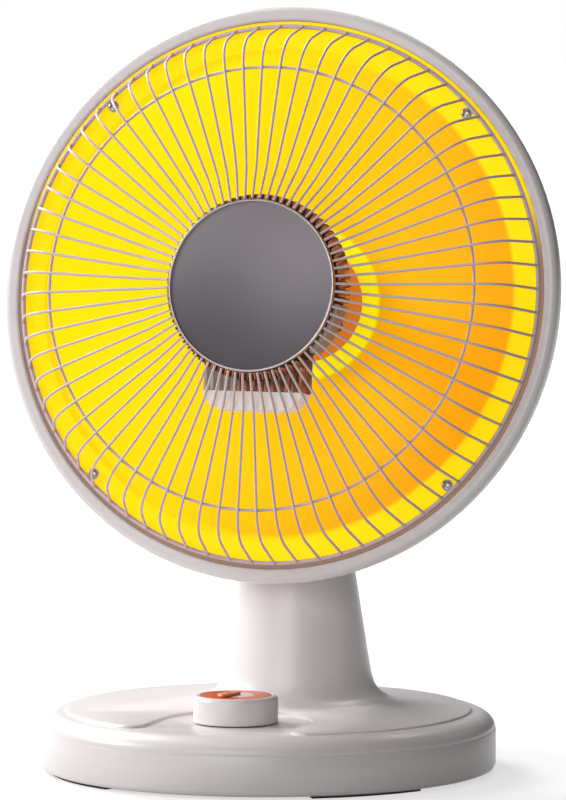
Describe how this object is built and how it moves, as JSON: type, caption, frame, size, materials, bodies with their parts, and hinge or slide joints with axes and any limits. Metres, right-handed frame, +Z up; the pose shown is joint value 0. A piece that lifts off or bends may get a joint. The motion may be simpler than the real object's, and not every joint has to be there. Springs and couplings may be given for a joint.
{
  "type": "parabolic heater",
  "caption": "Electric dish heater: round weighted base with a rotary knob, a neck, and a tilting bowl with a gilt reflector behind a radial wire guard.",
  "frame": {"origin": "on the floor under the middle of the round base", "axes": "+Z up, the heater faces -Y, +X to the right of someone who looks at its front"},
  "size_m": [0.289, 0.227, 0.3784],
  "materials": {
    "white_plastic": "satin warm white moulded plastic",
    "inner_plastic": "unpainted moulded plastic",
    "black_plastic": "moulded black plastic",
    "orange_plastic": "satin orange plastic",
    "feet_rubber": "matt rubber",
    "ballast_iron": "rough cast",
    "plated_steel": "zinc plated",
    "shaft_brass": "turned",
    "lead_sleeve": "woven glass sleeve",
    "gilt_reflector": "bright gilt anodised",
    "glowing_collar": "satin, lit orange by the element",
    "element_ceramic": "bisque ceramic",
    "hot_ribbon": "heat-darkened ribbon",
    "coated_wire": "pale coated wire",
    "dark_disc": "satin dark grey"
  },
  "bodies": {
    "base": {"base_tray": "white_plastic", "rubber_feet": "feet_rubber", "ballast_ring": "ballast_iron", "ballast_screws": "plated_steel", "top_cover": "white_plastic", "cover_screws": "plated_steel", "rotary_switch": "black_plastic", "switch_nut": "plated_steel", "tip_switch_housing": "black_plastic", "tip_spring": "plated_steel", "tip_microswitch": "black_plastic", "terminal_block": "inner_plastic", "cord_gland": "feet_rubber", "supply_leads": "lead_sleeve", "pivot_bolt": "plated_steel", "pivot_nut": "plated_steel", "pivot_washers": "plated_steel"},
    "knob_body": {"switch_shaft": "shaft_brass", "knob": "white_plastic", "knob_ring": "orange_plastic", "knob_centre": "white_plastic", "knob_pointer": "orange_plastic"},
    "plunger_body": {"tip_plunger": "inner_plastic"},
    "head": {"tilt_lug": "white_plastic", "lug_screws": "plated_steel", "shell": "white_plastic", "rear_cap": "white_plastic", "rear_cap_screws": "plated_steel", "support_plate": "plated_steel", "thermal_cutout": "black_plastic", "head_terminals": "element_ceramic", "head_leads": "lead_sleeve", "reflector": "gilt_reflector", "element_collar": "glowing_collar", "element_screws": "plated_steel", "element_stem": "element_ceramic", "element_rod": "plated_steel", "element_drum": "element_ceramic", "heating_ribbon": "hot_ribbon", "ribbon_shoe": "element_ceramic", "element_foot": "element_ceramic", "foot_fins": "hot_ribbon", "heat_shield": "plated_steel", "guard_outer_ring": "coated_wire", "guard_middle_ring": "coated_wire", "guard_wires": "coated_wire", "guard_eyelets": "coated_wire", "guard_screws": "plated_steel", "disc_rim": "coated_wire", "centre_disc": "dark_disc", "disc_clips": "plated_steel"}
  },
  "joints": [
    {"name": "head_tilt", "type": "hinge", "parent": "base", "child": "head", "pos_m": [0, 0.057, 0.104], "axis": [-1, 0, 0], "range_deg": [0, 20]},
    {"name": "knob_turn", "type": "hinge", "parent": "base", "child": "knob_body", "pos_m": [0, -0.0524, 0.035], "axis": [0, 0, -1], "range_deg": [0, 135]},
    {"name": "tip_plunger_slide", "type": "slide", "parent": "base", "child": "plunger_body", "axis": [0, 0, -1], "range_m": [0, 0.004], "stiffness_N_per_m": 120, "springref_m": 0.008, "deforming": ["tip_spring"]}
  ]
}
